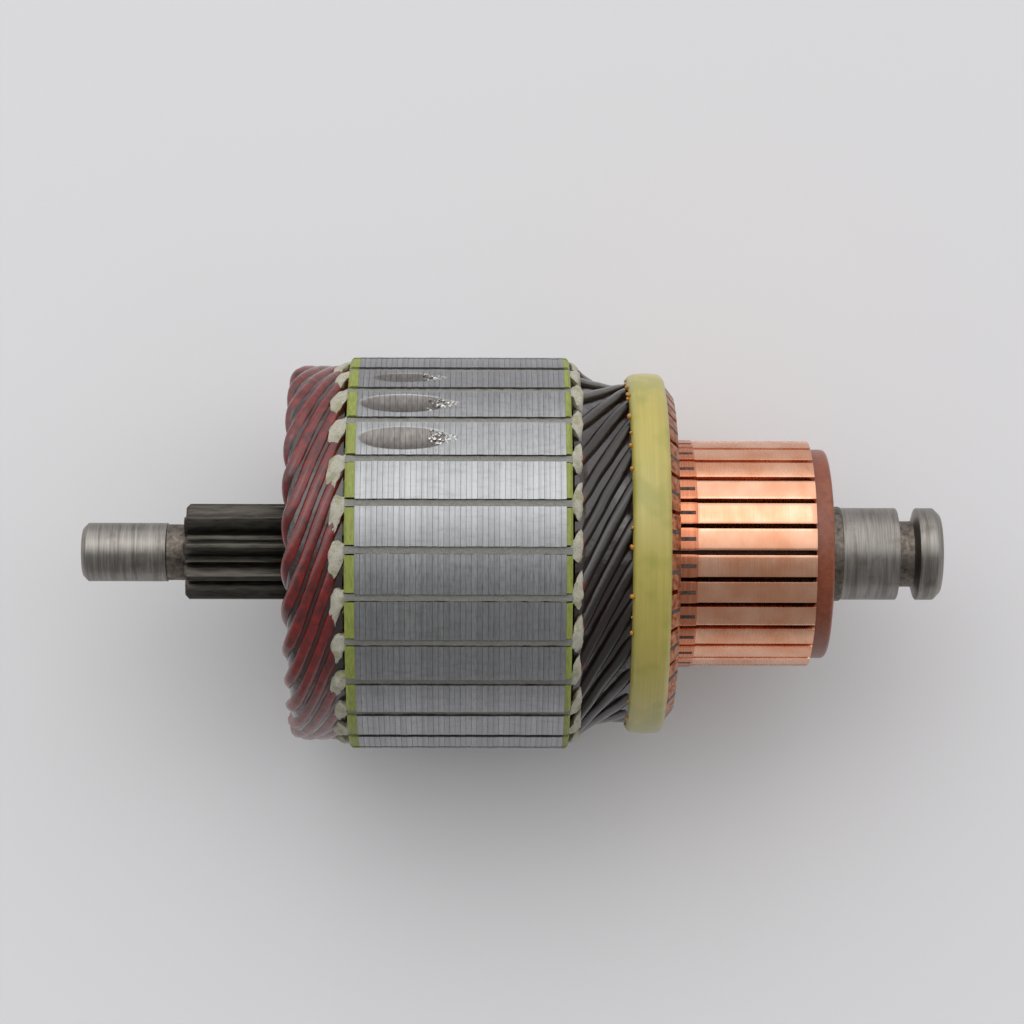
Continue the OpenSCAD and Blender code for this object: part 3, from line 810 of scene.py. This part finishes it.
def makeBeads():
    rng = random.Random(8)
    beads = []
    for i in range(varnish["beads"]):
        size = rng.uniform(0.18, 0.42) * mm
        bpy.ops.object.select_all(action="DESELECT")
        bpy.ops.mesh.primitive_ico_sphere_add(subdivisions=2, radius=size)
        bead = bpy.context.object
        settle(bead)
        crumple(bead, size * 0.3, size * 2, i)
        place = onPart(bandStart - size * 0.3, rng.uniform(-85, 85), rng.uniform(26.2, 26.8) * mm)
        bead.data.transform(Matrix.Translation(place))
        beads.append(bead)
    smooth(joined(beads, "resin_beads"), 60)
    finishPiece(beads[0], "amber", "resin_glass")


makeDriveVarnish()
makeLeadVarnish()
makeBeads()
print("varnish poured")

# ---- slot paper ----

paper = dict(
    driveLength=2.5 * mm,
    commutatorLength=1.7 * mm,
    sunk=0.1 * mm,  # how far the cuffs reach into the plates
    driveLean=4.5,  # degrees that a cuff turns along its length
    commutatorLean=-2.0,
    fanShare=0.8,  # of the pitch that a cuff covers at its open end
    slotShare=0.3,
    top=29.2 * mm,
    endDrop=0.9 * mm,
    depth=4.0 * mm,
    cuts=7,
    crumple=0.32 * mm,
    stripWidth=1.06 * mm,
    stripTop=29.38 * mm,
    stripThick=0.5 * mm,
    stripCrumple=0.1 * mm,
)


def mappedBlock(name, cuts, place):
    # a subdivided cube, each point moved to place(u, v, w), with u, v and w from 0 to 1
    bpy.ops.object.select_all(action="DESELECT")
    bpy.ops.mesh.primitive_cube_add(size=1, location=(0.5, 0.5, 0.5))
    block = bpy.context.object
    block.name = name
    settle(block)
    editMode()
    bpy.ops.mesh.subdivide(number_cuts=cuts)
    objectMode()
    for vertex in block.data.vertices:
        vertex.co = place(*vertex.co)
    editMode()
    cleanMesh()
    objectMode()
    return block


def makeCuffs(name, face, direction, length, lean, seed):
    rng = random.Random(seed)
    cuffs = []
    for k in range(slots["count"]):
        long = length * rng.uniform(0.8, 1.12)
        share = paper["fanShare"] * rng.uniform(0.88, 1.1)
        shift = rng.uniform(-0.05, 0.05) * pitch

        def place(u, v, w):
            half = (paper["slotShare"] + (share - paper["slotShare"]) * ease(u * 1.3)) * pitch / 2
            side = (v - 0.5) * 2
            rounded = (1 - 0.3 * side ** 2 * w) * paper["endDrop"] * 0.9 * side ** 4 * u
            angle = slots["turn"] + k * pitch + half * side + (lean + shift) * u
            top = paper["top"] - paper["endDrop"] * u ** 1.5 - rounded
            x = face + direction * long * u * (1 - 0.12 * side ** 2)
            return onPart(x, angle, top - paper["depth"] * (1 - w))

        cuff = mappedBlock(f"cuff_{k}", paper["cuts"], place)
        crumple(cuff, paper["crumple"], 1.1 * mm, seed + k)
        cuffs.append(cuff)
    smooth(joined(cuffs, name), 50)
    finishPiece(cuffs[0], "paper", "insulating_paper")


def makeStrips():
    strips = []
    for k in range(slots["count"]):
        def place(u, v, w):
            half = math.degrees(paper["stripWidth"] / 2 / coreRadius)
            x = drivePlateFace + (commutatorPlateFace - drivePlateFace) * u
            angle = slots["turn"] + k * pitch + half * (v - 0.5) * 2
            return onPart(x, angle, paper["stripTop"] - paper["stripThick"] * (1 - w))

        strip = mappedBlock(f"strip_{k}", 1, place)
        selectNothing("EDGE")
        for edge in strip.data.edges:
            a, b = (strip.data.vertices[i].co for i in edge.vertices)
            edge.select = abs(a.x - b.x) > 5 * mm
        bpy.ops.object.mode_set(mode="EDIT")
        bpy.ops.mesh.subdivide(number_cuts=30)
        objectMode()
        crumple(strip, paper["stripCrumple"], 0.9 * mm, 60 + k)
        strips.append(strip)
    smooth(joined(strips, "slot_paper"), 50)
    finishPiece(strips[0], "dusty", "insulating_paper", "slot_liners")


driveFoot = drivePlateFace + paper["sunk"]
commutatorFoot = commutatorPlateFace - paper["sunk"]
makeCuffs("paper_cuffs_drive_end", driveFoot, -1, paper["driveLength"], paper["driveLean"], 40)
makeCuffs("paper_cuffs_commutator_end", commutatorFoot, 1, paper["commutatorLength"], paper["commutatorLean"], 90)
makeStrips()
print("slot paper folded")

# ---- metal raised at the ends of the balancing cuts ----

burrs = dict(
    count=70,
    start=3.6 * mm,  # from the cut's middle to where the torn metal begins
    reach=4.6 * mm,
    width=1.7 * mm,
    size=0.34 * mm,
    height=0.1 * mm,
)


def makeBurrs():
    rng = random.Random(17)
    mesh = bpy.data.meshes.new("burrs")
    builder = bmesh.new()
    for tooth, depth in core["cutDepths"].items():
        middle = slots["turn"] + (tooth - 0.5) * pitch
        scale = math.sqrt(depth / 0.6 / mm)
        for _ in range(int(burrs["count"] * scale)):
            along = rng.random() ** 0.8
            x = core["cutPlace"] + scale * (burrs["start"] + burrs["reach"] * along)
            half = burrs["width"] * scale * (1 - along) + 0.15 * mm
            angle = middle + math.degrees(rng.uniform(-half, half) / coreRadius)
            size = burrs["size"] * rng.uniform(0.35, 1)
            turn = rng.uniform(0, 360)
            corners = []
            for j in range(3):
                a = math.radians(turn + j * 120 + rng.uniform(-35, 35))
                lift = rng.uniform(-0.1, 0.4) * burrs["height"]
                dx, da = size * math.cos(a), math.degrees(size * math.sin(a) / coreRadius)
                corners.append(builder.verts.new(onPart(x + dx, angle + da, coreRadius - 0.06 * mm + lift)))
            tipPlace = x + rng.uniform(-1, 1) * size
            tipHeight = rng.uniform(0.2, 1) * burrs["height"]
            tip = builder.verts.new(onPart(tipPlace, angle, coreRadius + tipHeight))
            builder.faces.new(corners)
            for j in range(3):
                builder.faces.new((corners[j], corners[(j + 1) % 3], tip))
    bmesh.ops.recalc_face_normals(builder, faces=builder.faces)
    builder.to_mesh(mesh)
    builder.free()
    piece = bpy.data.objects.new("cut_burrs", mesh)
    bpy.context.scene.collection.objects.link(piece)
    finishPiece(piece, "burr", "sheet_steel")


makeBurrs()
print("burrs raised")

# ---- shaft ----

shaft = dict(
    driveJournal=4.45 * mm,
    driveJournalEnd=-44.65 * mm,
    driveChamfer=0.8 * mm,
    neck=4.25 * mm,
    pinionStart=-41.8 * mm,
    pinionEnd=-23.3 * mm,
    seat=7.75 * mm,
    hubSeat=7.2 * mm,
    hubSeatEnd=57.65 * mm,
    journal=7.0 * mm,
    grooveStart=66.15 * mm,
    grooveEnd=68.6 * mm,
    groove=5.0 * mm,
    grooveLean=0.6 * mm,
    headChamfer=1.0 * mm,
)
pinion = dict(
    teeth=9,
    module=1.3 * mm,
    shift=0.25,
    rootDepth=1.25,
    tip=7.38 * mm,
    chamfer=0.6 * mm,
    turn=-7.4,
    flankSteps=7,
    edge=0.08 * mm,
)


def paintFaces(piece, finish, test):
    piece.data.materials.append(finishes[finish])
    index = len(piece.data.materials) - 1
    for face in piece.data.polygons:
        if test(face.center):
            face.material_index = index


def makeDriveStub():
    r, end = shaft["driveJournal"], shaft["driveJournalEnd"]
    inPinion = shaft["pinionStart"] + 0.2 * mm
    line = [(shaftStart, 0), (shaftStart, r - shaft["driveChamfer"]), (shaftStart + shaft["driveChamfer"], r),
            (end - 6 * mm, r), (end, r), (end + 0.1 * mm, shaft["neck"]), (inPinion, shaft["neck"]), (inPinion, 0)]
    stub = turnedPiece("shaft_drive_end", line, 96, 0.08 * mm)
    stub.data.materials.append(finishes["ground"])
    paintFaces(stub, "rough", lambda c: c.x > end - 0.02 * mm)
    finishPiece(stub, "ground", "ground_steel")


def makeShaftBody():
    r, x1 = shaft["journal"], shaft["grooveStart"]
    line = [(shaft["pinionEnd"], 0), (shaft["pinionEnd"], shaft["seat"]), (riserStart, shaft["seat"]),
            (riserStart, shaft["hubSeat"]), (ringFace - mm, shaft["hubSeat"]),
            (shaft["hubSeatEnd"] - 0.15 * mm, shaft["hubSeat"]), (shaft["hubSeatEnd"], r), (x1, r),
            (x1, shaft["groove"]), (shaft["grooveEnd"], shaft["groove"]),
            (shaft["grooveEnd"] + shaft["grooveLean"], r), (shaftEnd - shaft["headChamfer"], r),
            (shaftEnd, r - shaft["headChamfer"]), (shaftEnd, 0)]
    body = turnedPiece("shaft_commutator_end", line, 128, 0.12 * mm)
    body.data.materials.append(finishes["ground"])
    paintFaces(body, "rough", lambda c: c.x < shaft["hubSeatEnd"] or x1 < c.x < shaft["grooveEnd"])
    finishPiece(body, "ground", "ground_steel")


def involute(radius, base):
    a = math.acos(base / radius)
    return math.tan(a) - a


def toothHalfAngle(radius):
    pitchRadius = pinion["module"] * pinion["teeth"] / 2
    base = pitchRadius * math.cos(math.radians(20))
    half = math.pi / 2 / pinion["teeth"] + 2 * pinion["shift"] * math.tan(math.radians(20)) / pinion["teeth"]
    return math.degrees(half + involute(pitchRadius, base) - involute(max(radius, base), base))


def makePinion():
    root = pinion["module"] * (pinion["teeth"] / 2 - pinion["rootDepth"] + pinion["shift"])
    low = pinion["module"] * pinion["teeth"] / 2 * math.cos(math.radians(20))
    step = 360 / pinion["teeth"]
    radii = [low + (pinion["tip"] - low) * i / pinion["flankSteps"] for i in range(pinion["flankSteps"] + 1)]
    foot = toothHalfAngle(low)
    side = [(step / 2, 0), (step / 2, root), (foot + 5.5, root), (foot + 2, root + 0.12 * mm),
            (foot + 0.3, root + 0.45 * mm)]
    flank = side + [(toothHalfAngle(r), r) for r in radii]
    tooth = flank + [(-a, r) for a, r in reversed(flank[1:])]
    outline = [onPart(shaft["pinionStart"], a, r) for a, r in tooth]
    gear = drawLine("pinion", outline)
    bpy.ops.mesh.select_all(action="SELECT")
    bpy.ops.mesh.edge_face_add()
    bpy.ops.mesh.spin(steps=pinion["teeth"], dupli=True, angle=math.tau, center=(0, 0, 0), axis=(1, 0, 0))
    cleanMesh()
    shrink = 1 - pinion["chamfer"] / pinion["tip"]
    length = shaft["pinionEnd"] - shaft["pinionStart"] - 2 * pinion["chamfer"]
    bpy.ops.transform.resize(value=(1, shrink, shrink), center_override=(0, 0, 0))
    bpy.ops.mesh.extrude_region_move(TRANSFORM_OT_translate={"value": (pinion["chamfer"], 0, 0)})
    bpy.ops.transform.resize(value=(1, 1 / shrink, 1 / shrink), center_override=(0, 0, 0))
    bpy.ops.mesh.extrude_region_move(TRANSFORM_OT_translate={"value": (length, 0, 0)})
    bpy.ops.mesh.extrude_region_move(TRANSFORM_OT_translate={"value": (pinion["chamfer"], 0, 0)})
    bpy.ops.transform.resize(value=(1, shrink, shrink), center_override=(0, 0, 0))
    cleanMesh()
    objectMode()
    gear.data.transform(aboutShaft(pinion["turn"]))
    roundEdges(gear, pinion["edge"], 2, 35)
    smooth(gear, 30)
    finishPiece(gear, "hardened", "ground_steel", "shaft")


makeDriveStub()
makeShaftBody()
makePinion()
print("shaft turned")

# ---- commutator ----

commutator = dict(
    foot=10.8 * mm,
    riserFace=31.9 * mm,
    riserTaper=30.5 * mm,
    riserEdge=24.0 * mm,
    shoulder=0.12 * mm,
    halfMica=0.3 * mm,
    halfUndercut=0.38 * mm,
    undercutDepth=0.62 * mm,
    undercutStart=33.9 * mm,
    undercutFull=35.3 * mm,
    edge=0.05 * mm,
    ringRound=0.7 * mm,
)


def barProfile():
    c = commutator
    unworn = [(x * mm, trackRadius + c["shoulder"]) for x in (32.6, 33.3, 33.9, 34.3, 34.85)]
    track = [(x * mm, trackRadius) for x in (34.9, 35.3, 36, 38, 40, 43, 46, 49, 51.5)]
    riser = [(riserStart, c["foot"]), (riserStart, riserRadius - mm), (riserStart, riserRadius),
             (c["riserTaper"], riserRadius), (c["riserFace"], c["riserEdge"]), (c["riserFace"], 21 * mm),
             (c["riserFace"], trackRadius + c["shoulder"])]
    end = [(barEnd, trackRadius), (barEnd, trackRadius - c["undercutDepth"]), (barEnd, c["foot"])]
    return riser + unworn + track + end


def makeBar():
    c = commutator
    bar = drawLine("bar", [(x, 0, r) for x, r in barProfile()])
    bpy.ops.mesh.select_all(action="SELECT")
    bpy.ops.mesh.edge_face_add()
    bpy.ops.transform.rotate(value=math.radians(pitch / 2), orient_axis="X", center_override=(0, 0, 0))
    objectMode()
    data = bar.data
    start = sum((math.atan2(-v.co.y, v.co.z) for v in data.vertices)) / len(data.vertices)
    data.transform(aboutShaft(-math.degrees(start) - pitch / 2))
    editMode()
    bpy.ops.mesh.spin(steps=8, angle=math.radians(-pitch), center=(0, 0, 0), axis=(1, 0, 0))
    cleanMesh()
    objectMode()
    for vertex in data.vertices:
        x, y, z = vertex.co
        r = math.hypot(y, z)
        share = math.degrees(math.atan2(-y, z)) / (pitch / 2)
        cut = ease((x - c["undercutStart"]) / (c["undercutFull"] - c["undercutStart"]))
        sawn = r > trackRadius - 0.5 * mm and r < trackRadius + 0.5 * mm
        half = c["halfMica"] + (c["halfUndercut"] - c["halfMica"]) * cut * sawn
        vertex.co = onPart(x, share * (pitch / 2 - math.degrees(math.asin(half / r))), r)
    return bar


def makeBars():
    bar = makeBar()
    rng = random.Random(31)
    bars = []
    for k in range(slots["count"]):
        lift = 1 + rng.uniform(-0.02, 0.0) * mm / trackRadius
        turn = slots["turn"] + slots["barTurn"] + (k + 0.5) * pitch + rng.uniform(-0.08, 0.08)
        bars.append(copyOf(bar, f"bar_{k}", aboutShaft(turn) @ Matrix.Diagonal((1, lift, lift, 1))))
    bpy.data.objects.remove(bar)
    whole = joined(bars, "copper_bars")
    roundEdges(whole, commutator["edge"], 2, 25)
    smooth(whole, 25)
    finishPiece(whole, "copper", "commutator_copper", "commutator_bars")


def makeRing():
    c, r = commutator, commutator["ringRound"]
    arc = [(ringFace - r * (1 - math.sin(a)), ringRadius - r * (1 - math.cos(a)))
           for a in (0, 0.4, 0.8, 1.2, math.pi / 2)]
    recess = ringFace - 0.3 * mm
    line = [(riserStart, shaft["hubSeat"]), (riserStart, c["foot"]), (barEnd, c["foot"]), (barEnd, ringRadius)]
    line += arc + [(ringFace, 10.5 * mm), (recess, 10 * mm), (recess, shaft["hubSeat"]), line[0]]
    ring = turnedPiece("moulded_hub", line, 128)
    finishPiece(ring, "phenolic", "phenolic_moulding", "commutator_hub")


makeBars()
makeRing()
print("commutator built")

# ---- camera, light and floor ----

studio = dict(
    cameraPlace=(2.1 * mm, 0, 465 * mm),
    cameraAim=(7.7 * mm, 6.25 * mm, 0),
    roll=0.14,
    viewAngle=19.06,
    floorDrop=0.02 * mm,
    floorSize=6.0,
    floorColour="#E2E1E3",
    skyBright=1.35,
    skyDark=0.32,
    skyColour="#D2D1D3",
)


def makeCamera():
    bpy.ops.object.camera_add(location=studio["cameraPlace"])
    camera = bpy.context.object
    forward = (Vector(studio["cameraAim"]) - Vector(studio["cameraPlace"])).normalized()
    right = forward.cross(Vector((0, 1, 0))).normalized()
    turn = Matrix((right, right.cross(forward), -forward)).transposed()
    camera.rotation_euler = (turn @ Matrix.Rotation(math.radians(studio["roll"]), 3, "Z")).to_euler()
    camera.data.sensor_fit = "HORIZONTAL"
    camera.data.angle = math.radians(studio["viewAngle"])
    camera.data.clip_start = 0.01
    bpy.context.scene.camera = camera


def makeFloor():
    bpy.ops.object.select_all(action="DESELECT")
    place = (0, 0, -coreRadius - studio["floorDrop"])
    bpy.ops.mesh.primitive_plane_add(size=studio["floorSize"], location=place)
    floor = bpy.context.object
    floor.name = "floor"
    settle(floor)
    material, _, shader = newMaterial("paper_backdrop_pale", Base_Color=studio["floorColour"], Roughness=0.9)
    shader.inputs["Specular IOR Level"].default_value = 0.1
    floor.data.materials.append(material)


def makeSky():
    # a bright studio wall behind the object's far side, a dim room on the near side
    world = bpy.data.worlds.new("studio")
    bpy.context.scene.world = world
    world.use_nodes = True
    tree = world.node_tree
    tree.nodes.clear()
    direction = addNode(tree, "ShaderNodeTexCoord").outputs["Generated"]
    split = addNode(tree, "ShaderNodeSeparateXYZ", {0: direction})
    level = between(tree, split.outputs[1], -0.12, 0.2, studio["skyDark"], studio["skyBright"])
    room = addNode(tree, "ShaderNodeBackground", {0: "#FFFFFF", 1: level})
    backdrop = addNode(tree, "ShaderNodeBackground", {0: studio["skyColour"], 1: 1.0})
    seen = addNode(tree, "ShaderNodeLightPath").outputs["Is Camera Ray"]
    mixed = addNode(tree, "ShaderNodeMixShader", {0: seen, 1: room.outputs[0], 2: backdrop.outputs[0]})
    addNode(tree, "ShaderNodeOutputWorld", {0: mixed.outputs[0]})


def makeLamp(name, place, size, power):
    bpy.ops.object.light_add(type="AREA", location=place)
    lamp = bpy.context.object
    lamp.name = name
    lamp.data.shape = "RECTANGLE"
    lamp.data.size, lamp.data.size_y = size
    lamp.data.energy = power
    lamp.rotation_euler = (-Vector(place)).to_track_quat("-Z", "Y").to_euler()


makeCamera()
makeFloor()
makeSky()
makeLamp("softbox", (-0.15, 0.55, 0.75), (0.8, 0.5), 1.3)
bpy.context.scene.view_settings.view_transform = "Standard"
print("studio set up")

# CAD nodes that keep their own shape
for node, finish in {
    "drive_end_plate": "fibre",
    "commutator_end_plate": "fibre",
    "commutator_mica": "mica",
}.items():
    shown = frame["nodes"][node]
    shown.data.materials.clear()
    shown.data.materials.append(finishes[finish])
